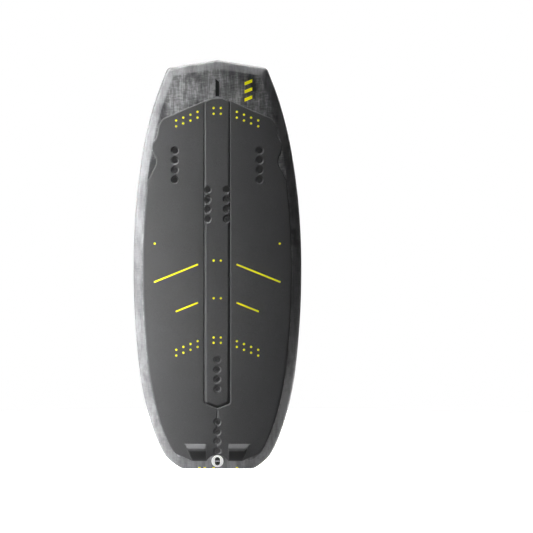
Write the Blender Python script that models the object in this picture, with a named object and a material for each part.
"""A foil kiteboard, 3 ft 6 in long, standing on its tail with its deck facing -Y.

X runs across the board, Z from tail to nose, and Y from deck to bottom. The origin is the middle of the
foil mount, on the flat bottom between the two mast tracks. Places on the board are given as (x, s), where
s is the distance from the tail end, so z = s - MOUNT_S.
"""

import math

import bmesh
import bpy
from mathutils import Vector

MM = 0.001

# Outline
LENGTH = 1067 * MM
NOSE_CORNER = (129.5 * MM, 1047 * MM)
NOSE_CORNER_RADIUS = 15 * MM
LEAST_RADIUS = 1 * MM
SIDE_POINTS = [
    NOSE_CORNER,
    (166 * MM, 950 * MM),
    (191 * MM, 850 * MM),
    (205.5 * MM, 755 * MM),
    (215.5 * MM, 650 * MM),
    (219.5 * MM, 530 * MM),
    (215.5 * MM, 388 * MM),
    (200 * MM, 231 * MM),
    (176.5 * MM, 127 * MM),
    (145 * MM, 48 * MM),
    (118 * MM, 16 * MM),
    (86 * MM, 0.0),
]
NOSE_LEAN = 6 * MM

# Profile
MID_THICKNESS = 52 * MM
TAIL_THICKNESS = 34 * MM
NOSE_THICKNESS = 29 * MM
TAIL_TAPER_END = 320 * MM
NOSE_TAPER_START = 600 * MM
ROCKER_START = 450 * MM
NOSE_ROCKER = 34 * MM
ROCKER_POWER = 2.2
TAIL_FLAT_X = (40 * MM, 110 * MM)
TAIL_FLAT_S = (35 * MM, 80 * MM)
TAIL_FLATTENING = 0.85

# Rail section from deck crease to bottom crease: (inset from the outline, share of the thickness)
RAIL = [
    (24 * MM, 0.0),
    (7 * MM, 0.20),
    (2.2 * MM, 0.31),
    (0.0, 0.48),
    (1.2 * MM, 0.68),
    (6.5 * MM, 0.88),
    (19 * MM, 1.0),
]
EDGE = 3

# Steps along each half outline, and along the surfaces of what is let into them
SPLINE_STEPS = 12
STEPS_PER_SPAN = 3
NOSE_STEPS = 3
CORNER_STEPS = 4
TAIL_STEPS = 4
STATION_PITCH = 45 * MM

# Shells and clearances
SKIN = 1.8 * MM
GAP = 0.3 * MM
SEAM = 0.4 * MM
OVERCUT = 6 * MM
PAST_SKIN = 1 * MM

# Mast tracks in the bottom
MOUNT_S = 238 * MM
TRACK_X = 45 * MM
TRACK_START = 59.4 * MM
SLOT_END = 417.3 * MM
SLOT_WIDTH = 8.4 * MM
MOUTH_WIDTH = 15.8 * MM
MOUTH_LENGTH = 19.6 * MM
LIP = 4 * MM
CHANNEL_WIDTH = 16.4 * MM
CHANNEL_DEPTH = 7.5 * MM
CHANNEL_END = 421 * MM
BOX_WALL = 3 * MM
TRACK_BLOCK_WIDTH = 46 * MM
TRACK_BLOCK_DEPTH = 30 * MM
TRACK_BLOCK_MARGIN = 12 * MM

# Track nuts, threaded M8
NUT_LENGTH = 18 * MM
NUT_WIDTH = 15.6 * MM
NUT_THICKNESS = 6 * MM
BOSS_LENGTH = 14 * MM
BOSS_WIDTH = 7.8 * MM
BOSS_HEIGHT = 3.2 * MM
NUT_THREAD = 6.8 * MM
NUT_SPACING = 165 * MM

# Foot-strap inserts, threaded M6: the middle of each column of four
INSERT_PITCH = 25.4 * MM
INSERTS = {
    "front_left_outer": (-110 * MM, 792.3 * MM),
    "front_right_outer": (110 * MM, 792.3 * MM),
    "front_left_inner": (-25 * MM, 691 * MM),
    "front_right_inner": (25 * MM, 691 * MM),
    "rear_forward": (0.0, 249 * MM),
    "rear_aft": (0.0, 87.3 * MM),
}
PLUG = 18.6 * MM
PLUG_DEPTH = 17 * MM
PLUG_THREAD = 5 * MM
PLUG_THREAD_DEPTH = 14 * MM
INSERT_BLOCK_WIDTH = 30 * MM
INSERT_BLOCK_LENGTH = 100 * MM
INSERT_BLOCK_DEPTH = 21 * MM

# Leash plug
LEASH_S = 21.5 * MM
FLANGE = 31 * MM
FLANGE_THICKNESS = 2.6 * MM
FLANGE_STANDS = 0.6 * MM
CUP = 24 * MM
CUP_DEPTH = 18 * MM
LEASH_SLOT_WIDTH = 12 * MM
LEASH_SLOT_LENGTH = 20 * MM
LEASH_SLOT_DEPTH = 14 * MM
PIN = 4 * MM
PIN_DEPTH = 6 * MM
PIN_LENGTH = 18 * MM

# Stringer, and the carbon strips over it in the skins
STRINGER_WIDTH = 6 * MM
STRINGER_S = (447 * MM, 1022 * MM)
STRIP_WIDTH = 9.6 * MM
STRIP_DEPTH = 0.9 * MM
DECK_STRIP_S = (972 * MM, 1013 * MM)
BOTTOM_STRIP_S = (447 * MM, 1013 * MM)
STRIP_SLANT = 8 * MM

# Deck pads: three sheets, whose thin rebated edges make the floors of the grooves between them
PAD = 5 * MM
REBATE = 2 * MM
REBATE_OVERLAP = 2 * MM
PAD_INSET = 25.5 * MM
LINE_SLOPE = math.tan(math.radians(22))
CENTRE_HALF_WIDTH = 27 * MM
CENTRE_NOSE = [(14 * MM, 968 * MM), (CENTRE_HALF_WIDTH, 962 * MM)]
CENTRE_TAIL = [(CENTRE_HALF_WIDTH, 181 * MM), (25.5 * MM, 174 * MM), (0.0, 163.5 * MM)]
WING_NOSE = (37 * MM, 957.8 * MM)
WING_SHOULDER = [
    (138.6 * MM, 915.4 * MM),
    (151 * MM, 899 * MM),
    (158 * MM, 866 * MM),
    (167.5 * MM, 850 * MM),
    (168.8 * MM, 840 * MM),
    (166.5 * MM, 826 * MM),
    (160.5 * MM, 813 * MM),
    (158.5 * MM, 803 * MM),
    (161.5 * MM, 790 * MM),
    (169.5 * MM, 775 * MM),
]
WING_SIDE_S = (48 * MM, 762 * MM)
WING_TAIL = [(109.3 * MM, 41.6 * MM), (80.5 * MM, 29.5 * MM), (65.6 * MM, 22.2 * MM), (27.2 * MM, 22.2 * MM)]
WING_GROOVE = [(3.2 * MM, 158 * MM), (34 * MM, 171 * MM), (37 * MM, 178 * MM)]
LIP_S = (41 * MM, 158 * MM)
CLEARING_S = 7.2 * MM
CLEARING = 31.5 * MM
PAD_HOLE = 20 * MM

# Tail kicks, from the tail forwards: (s, height above the pad, x of the outer end)
KICK_INNER_X = 29 * MM
KICK_SECTIONS = [
    (23.5 * MM, 0.0, 65 * MM),
    (24 * MM, 4 * MM, 65.3 * MM),
    (29 * MM, 9.5 * MM, 68 * MM),
    (37 * MM, 13.5 * MM, 72 * MM),
    (46 * MM, 15.6 * MM, 76 * MM),
    (54 * MM, 16 * MM, 78 * MM),
    (58 * MM, 14.5 * MM, 79.5 * MM),
    (63 * MM, 8 * MM, 82.5 * MM),
    (67.5 * MM, 0.0, 88 * MM),
]

# Coloured bars let into the side pads: the inner end of each and its run across the board
BAR_WIDTH = 4.4 * MM
BAR_DEPTH = 2.2 * MM
BARS = {
    "long": ((50 * MM, 535 * MM), 114.5 * MM),
    "short": ((50 * MM, 435.6 * MM), 58 * MM),
}

# Materials: colour, roughness, metallic
FINISHES = {
    "eva": ((0.075, 0.075, 0.078), 0.8, 0.0),
    "inlay_eva": ((0.85, 0.80, 0.01), 0.6, 0.0),
    "deck_lacquer": ((0.42, 0.42, 0.43), 0.4, 0.0),
    "bottom_lacquer": ((0.80, 0.75, 0.01), 0.35, 0.0),
    "carbon": ((0.01, 0.01, 0.012), 0.35, 0.0),
    "black_plastic": ((0.015, 0.015, 0.016), 0.5, 0.0),
    "white_plastic": ((0.85, 0.85, 0.85), 0.35, 0.0),
    "steel": ((0.6, 0.6, 0.62), 0.25, 1.0),
    "core_foam": ((0.9, 0.9, 0.88), 0.9, 0.0),
    "dense_foam": ((0.75, 0.70, 0.52), 0.85, 0.0),
}


# ---- surfaces of the hull ----


def smooth_step(value, low, high):
    t = min(1.0, max(0.0, (value - low) / (high - low)))
    return t * t * (3 - 2 * t)


def thickness(s):
    tail = max(0.0, 1 - s / TAIL_TAPER_END)
    nose = max(0.0, (s - NOSE_TAPER_START) / (LENGTH - NOSE_TAPER_START))
    thinning = (MID_THICKNESS - TAIL_THICKNESS) * tail**2 + (MID_THICKNESS - NOSE_THICKNESS) * nose**2
    return MID_THICKNESS - thinning


def bottom_y(s):
    return -NOSE_ROCKER * max(0.0, (s - ROCKER_START) / (LENGTH - ROCKER_START)) ** ROCKER_POWER


def deck_level(depth):
    """Y at a depth below the deck surface, as a function of s. A negative depth is above the deck."""
    return lambda s: bottom_y(s) - thickness(s) + depth


def bottom_level(depth):
    """Y at a depth inside the bottom surface, as a function of s."""
    return lambda s: bottom_y(s) - depth


def rail_y(share, x, s):
    """Y at a share of the thickness. The deck's bevel fades out at the middle of the tail."""
    if 0.0 < share < RAIL[EDGE][1]:
        across = 1 - smooth_step(abs(x), *TAIL_FLAT_X)
        along = 1 - smooth_step(s, *TAIL_FLAT_S)
        share *= 1 - TAIL_FLATTENING * across * along
    return deck_level(share * thickness(s))(s)


# ---- the outline and its insets ----


def spline(points):
    """A Catmull-Rom curve through all the points but the first and the last."""
    curve = []
    for a, b, c, d in zip(points, points[1:], points[2:], points[3:]):
        for i in range(SPLINE_STEPS):
            t = i / SPLINE_STEPS
            cubic = (3 * b - a - 3 * c + d) * t**3 + (2 * a - 5 * b + 4 * c - d) * t**2
            curve.append((2 * b + (c - a) * t + cubic) / 2)
    return curve + [points[-2]]


def side_line():
    """The right side of the outline, from the nose corner to the straight tail edge."""
    points = [Vector(p) for p in SIDE_POINTS]
    lead_in = 2 * points[0] - points[1] - Vector((NOSE_LEAN, 0))
    lead_out = Vector((2 * points[-1].x - points[-2].x, points[-2].y))
    return spline([lead_in, *points, lead_out])


def inset_line(line, inset):
    moved = []
    for i, p in enumerate(line[:-1]):
        along = (line[i + 1] - line[max(i - 1, 0)]).normalized()
        moved.append(p + Vector((along.y, -along.x)) * inset)
    return moved + [line[-1] + Vector((0, inset))]


def spread(points, count):
    """count + 1 points at equal steps along a polyline, its ends included."""
    lengths = [0.0]
    for a, b in zip(points, points[1:]):
        lengths.append(lengths[-1] + (b - a).length)
    found, k = [], 0
    for i in range(count + 1):
        want = lengths[-1] * i / count
        while k < len(points) - 2 and lengths[k + 1] < want:
            k += 1
        t = (want - lengths[k]) / max(lengths[k + 1] - lengths[k], 1e-9)
        found.append(points[k].lerp(points[k + 1], min(1.0, t)))
    return found


def nose_corner(side, apex, slope):
    """Where the nose edge, falling from apex at a slope, meets the side line."""
    for a, b in zip(side, side[1:]):
        above = a.y + slope * a.x - apex
        below = b.y + slope * b.x - apex
        if above >= 0 > below:
            return a.lerp(b, above / (above - below))
    return side[0]


def corner_arc(corner, to_nose, to_side, radius):
    """A fillet from the nose edge to the side, or the corner itself where nothing is left of the radius."""
    if radius < LEAST_RADIUS:
        return [corner] * (CORNER_STEPS + 1)
    half_angle = to_nose.angle(to_side) / 2
    centre = corner + (to_nose + to_side).normalized() * radius / math.sin(half_angle)
    reach = radius / math.tan(half_angle)
    start = corner + to_nose * reach - centre
    end = corner + to_side * reach - centre
    turn = start.angle(end)
    arc = []
    for i in range(CORNER_STEPS + 1):
        t = i / CORNER_STEPS
        arc.append(centre + (start * math.sin((1 - t) * turn) + end * math.sin(t * turn)) / math.sin(turn))
    return arc


def half_ring(inset):
    """The right half of the outline at an inset, from the nose point to the tail's middle, as (x, s)."""
    slope = (LENGTH - NOSE_CORNER[1]) / NOSE_CORNER[0]
    apex = Vector((0.0, LENGTH - inset * math.hypot(1, slope)))
    side = inset_line(side_line(), inset)
    corner = nose_corner(side, apex.y, slope)
    first_span = [p for p in side[: SPLINE_STEPS + 1] if p.y < corner.y - 1e-6]
    to_nose = (apex - corner).normalized()
    to_side = (first_span[0] - corner).normalized()
    arc = corner_arc(corner, to_nose, to_side, NOSE_CORNER_RADIUS - inset)
    below_arc = [p for p in first_span if p.y < arc[-1].y - 1e-6]
    nose = spread([apex, arc[0]], NOSE_STEPS)
    head = spread([arc[-1], *below_arc], STEPS_PER_SPAN)
    rest = side[SPLINE_STEPS :: SPLINE_STEPS // STEPS_PER_SPAN]
    tail = spread([side[-1], Vector((0.0, inset))], TAIL_STEPS)
    return nose[:-1] + arc[:-1] + head[:-1] + rest[:-1] + tail


def ring(inset):
    """The whole outline at an inset: nose point, right side, tail's middle, left side."""
    right = half_ring(inset)
    return right + [Vector((-p.x, p.y)) for p in reversed(right[1:-1])]


# ---- mesh helpers ----


def place(x, y, s):
    return Vector((x, y, s - MOUNT_S))


def material(finish):
    found = bpy.data.materials.get(finish)
    if found:
        return found
    colour, roughness, metallic = FINISHES[finish]
    made = bpy.data.materials.new(finish)
    made.use_nodes = True
    shader = made.node_tree.nodes["Principled BSDF"]
    shader.inputs["Base Color"].default_value = (*colour, 1.0)
    shader.inputs["Roughness"].default_value = roughness
    shader.inputs["Metallic"].default_value = metallic
    return made


def add_object(name, bm, finish, smooth_angle=30):
    mesh = bpy.data.meshes.new(name)
    bm.to_mesh(mesh)
    bm.free()
    mesh.materials.append(material(finish))
    mesh.shade_smooth()
    mesh.set_sharp_from_angle(angle=math.radians(smooth_angle))
    made = bpy.data.objects.new(name, mesh)
    bpy.context.scene.collection.objects.link(made)
    return made


def combine(target, operation, *tools):
    """Joins the tool meshes to target, or cuts them out of it. The tools may not overlap each other."""
    helper = add_object(f"{operation.lower()}_{target.name}", merged(tools), "black_plastic")
    helper.hide_render = True
    helper.display_type = "WIRE"
    boolean = target.modifiers.new(operation.lower(), "BOOLEAN")
    boolean.operation = operation
    boolean.object = helper


def merged(parts):
    """The given meshes as one, each a separate body."""
    whole = bmesh.new()
    for part in parts:
        mesh = bpy.data.meshes.new("part")
        part.to_mesh(mesh)
        part.free()
        whole.from_mesh(mesh)
        bpy.data.meshes.remove(mesh)
    return whole


def slab(plan, near, far):
    """A closed slab over a plan polygon of (x, s), between two surfaces that give Y at s."""
    bm = bmesh.new()
    lower = [bm.verts.new(place(x, 0.0, s)) for x, s in plan]
    upper = [bm.verts.new(place(x, 1.0, s)) for x, s in plan]
    bm.faces.new(lower)
    bm.faces.new(upper[::-1])
    for i in range(len(plan)):
        bm.faces.new((lower[i - 1], lower[i], upper[i], upper[i - 1]))
    cut_at_stations(bm, min(s for x, s in plan), max(s for x, s in plan))
    for v in bm.verts:
        surface = near if v.co.y < 0.5 else far
        v.co.y = surface(v.co.z + MOUNT_S)
    bmesh.ops.recalc_face_normals(bm, faces=bm.faces)
    return bm


def cut_at_stations(bm, low, high):
    """Adds edges across a slab wherever the hull's curves need them."""
    station = (math.floor(low / STATION_PITCH) + 1) * STATION_PITCH
    while station < high:
        geometry = bm.verts[:] + bm.edges[:] + bm.faces[:]
        bmesh.ops.bisect_plane(bm, geom=geometry, dist=1e-5, plane_co=place(0, 0, station), plane_no=(0, 0, 1))
        station += STATION_PITCH


def arc(x, s, radius, start, turn, steps):
    """Points of an arc in plan, with angles in degrees from +X towards the nose."""
    angles = [math.radians(start + turn * i / steps) for i in range(steps + 1)]
    return [(x + radius * math.cos(a), s + radius * math.sin(a)) for a in angles]


def circle(x, s, diameter, sides=10):
    return arc(x, s, diameter / 2, 180 / sides, 360, sides)[:-1]


def rectangle(x, s, width, length):
    w, h = width / 2, length / 2
    return [(x - w, s - h), (x + w, s - h), (x + w, s + h), (x - w, s + h)]


def oblong(x, s, width, length, steps=4):
    """A rectangle with round ends, its long side along s."""
    run = (length - width) / 2
    return arc(x, s + run, width / 2, 0, 180, steps) + arc(x, s - run, width / 2, 180, 180, steps)


def mirrored(plan, side):
    return [(x * side, s) for x, s in plan]


def interval(low, high):
    """The middle and length of a stretch."""
    return (low + high) / 2, high - low


# ---- hull: core, skins, stringer ----


def section(inwards):
    """The rail's section moved inwards: (inset, share of the thickness, shift in Y) for each ring."""
    points = [Vector((inset, share * MID_THICKNESS)) for inset, share in RAIL]
    inboard = Vector((10 * MM, 0))
    path = [points[0] + inboard, *points, points[-1] + inboard]
    moved = []
    for before, point, after, (inset, share) in zip(path, path[1:], path[2:], RAIL):
        first = (point - before).normalized()
        second = (after - point).normalized()
        mitre = Vector((first.y + second.y, -first.x - second.x)).normalized()
        shift = mitre * inwards / mitre.dot(Vector((first.y, -first.x)))
        moved.append((inset + shift.x, share, shift.y))
    return moved


def hull_form(rings):
    """A closed mesh through rings of (inset, share, shift in Y), its first and last filled across."""
    bm = bmesh.new()
    loops = []
    for inset, share, shift in rings:
        loops.append([bm.verts.new(place(p.x, rail_y(share, p.x, p.y) + shift, p.y)) for p in ring(inset)])
    for (_, share, _), (_, next_share, _), loop, next_loop in zip(rings, rings[1:], loops, loops[1:]):
        join_band(bm, *((loop, next_loop) if share <= next_share else (next_loop, loop)))
    for loop in (loops[0], loops[-1]):
        fill_across(bm, loop)
    bmesh.ops.remove_doubles(bm, verts=bm.verts, dist=1e-6)
    bmesh.ops.recalc_face_normals(bm, faces=bm.faces)
    return bm


def join_band(bm, upper, lower):
    """Joins two rings with triangles, mirrored left to right, so that shells inside each other stay clear."""
    count = len(upper)
    for i in range(count):
        j = (i + 1) % count
        if i < count // 2:
            bm.faces.new((upper[i], upper[j], lower[j]))
            bm.faces.new((upper[i], lower[j], lower[i]))
        else:
            bm.faces.new((upper[i], upper[j], lower[i]))
            bm.faces.new((upper[j], lower[j], lower[i]))


def fill_across(bm, loop):
    """Fills a ring with faces that run straight across, as far as the straight tail edge."""
    last_rung = len(loop) // 2 - TAIL_STEPS - 1
    bm.faces.new((loop[0], loop[1], loop[-1]))
    for i in range(1, last_rung):
        bm.faces.new((loop[i], loop[i + 1], loop[-i - 1], loop[-i]))
    bm.faces.new(loop[last_rung : len(loop) - last_rung + 1])


def shell_rings(outer, inner, seam_shift):
    """Rings over a shell, from its outer crease to the rail edge and back inside to its inner crease."""
    edges = [(inset, share, shift + seam_shift) for inset, share, shift in (outer[-1], inner[-1])]
    return [*outer[:-1], *edges, *reversed(inner[:-1])]


def deck_skin():
    rings = shell_rings(section(0.0)[: EDGE + 1], section(SKIN)[: EDGE + 1], -SEAM / 2)
    skin = add_object("deck_skin", hull_form(rings), "deck_lacquer", 20)
    plugs = [slab(circle(x, s, PLUG + 2 * GAP), *through_deck()) for x, s in all_inserts()]
    leash = slab(circle(0.0, LEASH_S, FLANGE + 2 * GAP, 16), *through_deck())
    strip = slab(strip_plan(DECK_STRIP_S, GAP), deck_level(-OVERCUT), deck_level(STRIP_DEPTH + GAP))
    combine(skin, "DIFFERENCE", *plugs, leash, strip)


def through_deck():
    return deck_level(-OVERCUT), deck_level(SKIN + PAST_SKIN)


def bottom_skin():
    outer = section(0.0)[EDGE:][::-1]
    inner = section(SKIN)[EDGE:][::-1]
    skin = add_object("bottom_skin", hull_form(shell_rings(outer, inner, SEAM / 2)), "bottom_lacquer", 20)
    keyholes = [
        slab(keyhole_plan(side), bottom_level(SKIN + PAST_SKIN), bottom_level(-OVERCUT)) for side in (-1, 1)
    ]
    plan = mirrored(strip_plan(BOTTOM_STRIP_S, GAP), -1)
    strip = slab(plan, bottom_level(STRIP_DEPTH + GAP), bottom_level(-OVERCUT))
    combine(skin, "DIFFERENCE", *keyholes, strip)


def foam_core():
    core = add_object("foam_core", hull_form(section(SKIN + GAP)), "core_foam", 20)
    blocks = [slab(plan, *levels) for plan, levels in block_spaces(GAP)]
    middle, length = interval(*STRINGER_S)
    stringer = rectangle(0.0, middle, STRINGER_WIDTH + 2 * GAP, length + 2 * GAP)
    stringer_slot = slab(stringer, deck_level(0.0), bottom_level(0.0))
    cup = slab(circle(0.0, LEASH_S, CUP + 2 * GAP, 12), deck_level(0.0), deck_level(CUP_DEPTH + GAP))
    combine(core, "DIFFERENCE", *blocks, stringer_slot, cup)
    flange_depth = FLANGE_THICKNESS - FLANGE_STANDS + GAP
    flange = slab(circle(0.0, LEASH_S, FLANGE + 2 * GAP, 16), deck_level(0.0), deck_level(flange_depth))
    combine(core, "DIFFERENCE", flange)


def block_spaces(margin):
    """The plan and levels of each dense foam block, grown by a margin."""
    top = SKIN + GAP
    middle, length = interval(TRACK_START - TRACK_BLOCK_MARGIN, CHANNEL_END + TRACK_BLOCK_MARGIN)
    spaces = []
    for side in (-1, 1):
        plan = rectangle(side * TRACK_X, middle, TRACK_BLOCK_WIDTH + 2 * margin, length + 2 * margin)
        spaces.append((plan, (bottom_level(top + TRACK_BLOCK_DEPTH + margin), bottom_level(top - margin))))
    for x, s in INSERTS.values():
        plan = rectangle(x, s, INSERT_BLOCK_WIDTH + 2 * margin, INSERT_BLOCK_LENGTH + 2 * margin)
        spaces.append((plan, (deck_level(top - margin), deck_level(top + INSERT_BLOCK_DEPTH + margin))))
    return spaces


def stringer():
    middle, length = interval(*STRINGER_S)
    inside = SKIN + GAP
    plan = rectangle(0.0, middle, STRINGER_WIDTH, length)
    add_object("stringer", slab(plan, deck_level(inside), bottom_level(inside)), "carbon")


def strip_plan(stretch, margin=0.0):
    """A strip on the centre line, with a square tail end and a slanting nose end."""
    half = STRIP_WIDTH / 2 + margin
    low, high = stretch[0] - margin, stretch[1] + margin
    return [(-half, low), (half, low), (half, high - STRIP_SLANT / 2), (-half, high + STRIP_SLANT / 2)]


def stringer_strips():
    deck = slab(strip_plan(DECK_STRIP_S), deck_level(0.0), deck_level(STRIP_DEPTH))
    add_object("stringer_strip_deck", deck, "carbon")
    bottom = slab(mirrored(strip_plan(BOTTOM_STRIP_S), -1), bottom_level(STRIP_DEPTH), bottom_level(0.0))
    add_object("stringer_strip_bottom", bottom, "carbon")


# ---- foil mount: blocks, track boxes, nuts ----


def keyhole_plan(side):
    """The opening of a track in plan: a wide mouth at the tail end, then a slot with a round end."""
    x = side * TRACK_X
    slot, mouth = SLOT_WIDTH / 2, MOUTH_WIDTH / 2
    slot_start = TRACK_START + MOUTH_LENGTH
    corners = [(x - slot, slot_start), (x - mouth, slot_start), (x - mouth, TRACK_START)]
    corners += [(x + mouth, TRACK_START), (x + mouth, slot_start), (x + slot, slot_start)]
    return corners + arc(x, SLOT_END - slot, slot, 0, 180, 6)


def track_blocks():
    levels = bottom_level(SKIN + GAP + TRACK_BLOCK_DEPTH), bottom_level(SKIN + GAP)
    box_depth = BOX_WALL + CHANNEL_DEPTH + LIP
    middle, length = interval(TRACK_START - BOX_WALL, CHANNEL_END + BOX_WALL)
    block_middle, block_length = interval(TRACK_START - TRACK_BLOCK_MARGIN, CHANNEL_END + TRACK_BLOCK_MARGIN)
    for name, side in (("left", -1), ("right", 1)):
        x = side * TRACK_X
        plan = rectangle(x, block_middle, TRACK_BLOCK_WIDTH, block_length)
        block = add_object(f"track_block_{name}", slab(plan, *levels), "dense_foam")
        pocket = rectangle(x, middle, CHANNEL_WIDTH + 2 * (BOX_WALL + GAP), length + 2 * GAP)
        cut = slab(pocket, bottom_level(SKIN + GAP + box_depth + GAP), bottom_level(0.0))
        combine(block, "DIFFERENCE", cut)


def track_boxes():
    lip_face = SKIN + GAP
    channel_top = lip_face + LIP
    channel_floor = channel_top + CHANNEL_DEPTH
    middle, length = interval(TRACK_START - BOX_WALL, CHANNEL_END + BOX_WALL)
    channel_middle, channel_length = interval(TRACK_START, CHANNEL_END)
    for name, side in (("left", -1), ("right", 1)):
        x = side * TRACK_X
        plan = rectangle(x, middle, CHANNEL_WIDTH + 2 * BOX_WALL, length)
        body = slab(plan, bottom_level(channel_floor + BOX_WALL), bottom_level(lip_face))
        box = add_object(f"track_box_{name}", body, "black_plastic")
        channel = rectangle(x, channel_middle, CHANNEL_WIDTH, channel_length)
        combine(box, "DIFFERENCE", slab(channel, bottom_level(channel_floor), bottom_level(channel_top)))
        keyhole = slab(keyhole_plan(side), bottom_level(channel_top + CHANNEL_DEPTH / 2), bottom_level(0.0))
        combine(box, "DIFFERENCE", keyhole)


def track_nuts():
    top = SKIN + GAP + LIP + GAP
    for side_name, side in (("left", -1), ("right", 1)):
        for end_name, end in (("rear", -1), ("front", 1)):
            x, s = side * TRACK_X, MOUNT_S + end * NUT_SPACING / 2
            plate = rectangle(x, s, NUT_WIDTH, NUT_LENGTH)
            body = slab(plate, bottom_level(top + NUT_THICKNESS), bottom_level(top))
            nut = add_object(f"track_nut_{side_name}_{end_name}", body, "steel")
            boss = oblong(x, s, BOSS_WIDTH, BOSS_LENGTH)
            low, high = bottom_level(top + NUT_THICKNESS / 2), bottom_level(top - BOSS_HEIGHT)
            combine(nut, "UNION", slab(boss, low, high))
            thread = circle(x, s, NUT_THREAD, 12)
            combine(nut, "DIFFERENCE", slab(thread, bottom_level(top + OVERCUT * 2), bottom_level(-OVERCUT)))


# ---- foot-strap inserts ----


def column(x, s):
    """The four inserts of the column whose middle is at (x, s)."""
    return [(x, s + (i - 1.5) * INSERT_PITCH) for i in range(4)]


def all_inserts():
    return [insert for x, s in INSERTS.values() for insert in column(x, s)]


def insert_blocks():
    top = SKIN + GAP
    for name, (x, s) in INSERTS.items():
        plan = rectangle(x, s, INSERT_BLOCK_WIDTH, INSERT_BLOCK_LENGTH)
        body = slab(plan, deck_level(top), deck_level(top + INSERT_BLOCK_DEPTH))
        block = add_object(f"insert_block_{name}", body, "dense_foam")
        sockets = [
            slab(circle(*insert, PLUG + 2 * GAP), deck_level(0.0), deck_level(PLUG_DEPTH + GAP))
            for insert in column(x, s)
        ]
        combine(block, "DIFFERENCE", *sockets)


def insert_plugs():
    for name, (x, s) in INSERTS.items():
        for i, insert in enumerate(column(x, s)):
            body = slab(circle(*insert, PLUG), deck_level(0.0), deck_level(PLUG_DEPTH))
            plug = add_object(f"insert_{name}_{i + 1}", body, "black_plastic")
            thread = slab(circle(*insert, PLUG_THREAD, 8), deck_level(-OVERCUT), deck_level(PLUG_THREAD_DEPTH))
            combine(plug, "DIFFERENCE", thread)


# ---- leash plug ----


def leash_plug():
    flange_top = deck_level(-FLANGE_STANDS)
    flange = slab(circle(0.0, LEASH_S, FLANGE, 16), flange_top, deck_level(FLANGE_THICKNESS - FLANGE_STANDS))
    cup = add_object("leash_cup", flange, "white_plastic")
    body = slab(circle(0.0, LEASH_S, CUP, 12), deck_level(0.0), deck_level(CUP_DEPTH))
    combine(cup, "UNION", body)
    mouth = oblong(0.0, LEASH_S, LEASH_SLOT_WIDTH, LEASH_SLOT_LENGTH)
    combine(cup, "DIFFERENCE", slab(mouth, deck_level(-OVERCUT), deck_level(LEASH_SLOT_DEPTH)))
    pin_hole = leash_bar(PIN + 2 * GAP, PIN_LENGTH + 2 * GAP)
    combine(cup, "DIFFERENCE", pin_hole)
    add_object("leash_pin", leash_bar(PIN, PIN_LENGTH), "steel")


def leash_bar(diameter, length):
    """A round bar across the leash cup."""
    middle = place(0.0, deck_level(PIN_DEPTH)(LEASH_S), LEASH_S)
    bm = bmesh.new()
    bmesh.ops.create_cone(
        bm, cap_ends=True, segments=10, radius1=diameter / 2, radius2=diameter / 2, depth=length
    )
    for v in bm.verts:
        v.co = middle + Vector((v.co.z, v.co.y, -v.co.x))
    return bm


# ---- deck pads and kicks ----


def centre_plan():
    right = CENTRE_NOSE + CENTRE_TAIL
    return right + [(-x, s) for x, s in reversed(right[:-1])]


def centre_base_plan():
    """The centre pad's thin base, which fills the grooves as far as the side pads."""
    edge = [(x - GAP, s + GAP) for x, s in reversed(WING_GROOVE)]
    right = [*CENTRE_NOSE, (edge[0][0], WING_NOSE[1]), *edge]
    return right + [(-x, s) for x, s in reversed(right)]


def wing_plan():
    """The right-hand pad: nose edge, shoulder, side, tail, the clearing for the leash plug, and grooves."""
    low, high = WING_SIDE_S
    side = [tuple(p) for p in inset_line(side_line(), PAD_INSET)[::4] if low < p.y < high]
    groove_x = WING_GROOVE[0][0]
    start = math.degrees(math.atan2(WING_TAIL[-1][1] - CLEARING_S, WING_TAIL[-1][0]))
    end = math.degrees(math.acos(groove_x / CLEARING))
    clearing = arc(0.0, CLEARING_S, CLEARING, start, end - start, 5)
    return [WING_NOSE, *WING_SHOULDER, *side, *WING_TAIL[:-1], *clearing, *WING_GROOVE]


def bar_plan(start, run, margin=0.0):
    """A bar that runs outwards and towards the tail from its start."""
    first = Vector(start)
    last = first + Vector((run, -run * LINE_SLOPE))
    along = (last - first).normalized()
    across = Vector((-along.y, along.x)) * (BAR_WIDTH / 2 + margin)
    first, last = first - along * margin, last + along * margin
    return [tuple(p) for p in (first - across, last - across, last + across, first + across)]


def pad(name, body, rebate, low_x, high_x):
    """A deck pad with its rebated edge, and with a hole over each foot-strap insert between two x."""
    piece = add_object(f"pad_{name}", body, "eva")
    combine(piece, "UNION", rebate)
    holes = [
        slab(circle(x, s, PAD_HOLE), deck_level(-PAD - OVERCUT), deck_level(SKIN / 2))
        for x, s in all_inserts()
        if low_x - PAD_HOLE / 2 < x < high_x + PAD_HOLE / 2
    ]
    combine(piece, "DIFFERENCE", *holes)
    return piece


def centre_pad():
    body = slab(centre_plan(), deck_level(-GAP - PAD), deck_level(-GAP - REBATE / 2))
    base = slab(centre_base_plan(), deck_level(-GAP - REBATE), deck_level(-GAP))
    reach = WING_GROOVE[-1][0]
    pad("center", body, base, -reach, reach)


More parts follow.
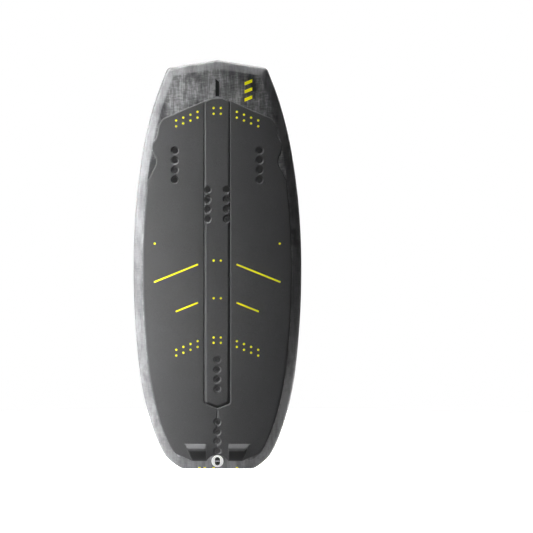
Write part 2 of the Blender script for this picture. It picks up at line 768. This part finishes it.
def wing(name, side):
    """A side pad with its coloured bars let into it, and a thin lip along the groove at the tail."""
    plan = mirrored(wing_plan(), side)
    body = slab(plan, deck_level(-GAP - PAD), deck_level(-GAP))
    lip_middle, lip_width = interval(GAP / 2, WING_GROOVE[0][0] + REBATE_OVERLAP)
    lip_plan = rectangle(side * lip_middle, sum(LIP_S) / 2, lip_width, LIP_S[1] - LIP_S[0])
    lip = slab(lip_plan, deck_level(-GAP - REBATE), deck_level(-2 * GAP))
    piece = pad(name, body, lip, min(x for x, s in plan), max(x for x, s in plan))
    top, bed = -GAP - PAD, -GAP - PAD + BAR_DEPTH
    pockets = []
    for bar_name, (start, run) in BARS.items():
        bar = slab(mirrored(bar_plan(start, run), side), deck_level(top), deck_level(bed))
        add_object(f"inlay_{bar_name}_{name}", bar, "inlay_eva")
        pocket_plan = mirrored(bar_plan(start, run, GAP), side)
        pockets.append(slab(pocket_plan, deck_level(top - OVERCUT), deck_level(bed + GAP)))
    combine(piece, "DIFFERENCE", *pockets)


def kick(name, side):
    """A raised block over the tail end of a wing pad."""
    base = deck_level(-GAP - PAD - GAP)
    bm = bmesh.new()
    tops, feet = [], []
    for s, height, outer_x in KICK_SECTIONS:
        ends = (side * KICK_INNER_X, side * outer_x)
        tops.append([bm.verts.new(place(x, base(s) - height, s)) for x in ends])
        feet.append([bm.verts.new(place(x, base(s), s)) for x in ends])
    for i in range(len(KICK_SECTIONS) - 1):
        (a, b), (c, d) = tops[i], tops[i + 1]
        (e, f), (g, h) = feet[i], feet[i + 1]
        for corners in ((a, b, d, c), (e, f, h, g), (a, c, g, e), (b, d, h, f)):
            bm.faces.new(corners)
    bmesh.ops.remove_doubles(bm, verts=bm.verts, dist=1e-6)
    bmesh.ops.recalc_face_normals(bm, faces=bm.faces)
    add_object(f"kick_{name}", bm, "eva")


def deck_pads():
    centre_pad()
    for name, side in (("left", -1), ("right", 1)):
        wing(name, side)
        kick(name, side)


def main():
    for old in list(bpy.data.objects):
        bpy.data.objects.remove(old)
    foam_core()
    deck_skin()
    bottom_skin()
    stringer()
    stringer_strips()
    track_blocks()
    track_boxes()
    track_nuts()
    insert_blocks()
    insert_plugs()
    leash_plug()
    deck_pads()


main()
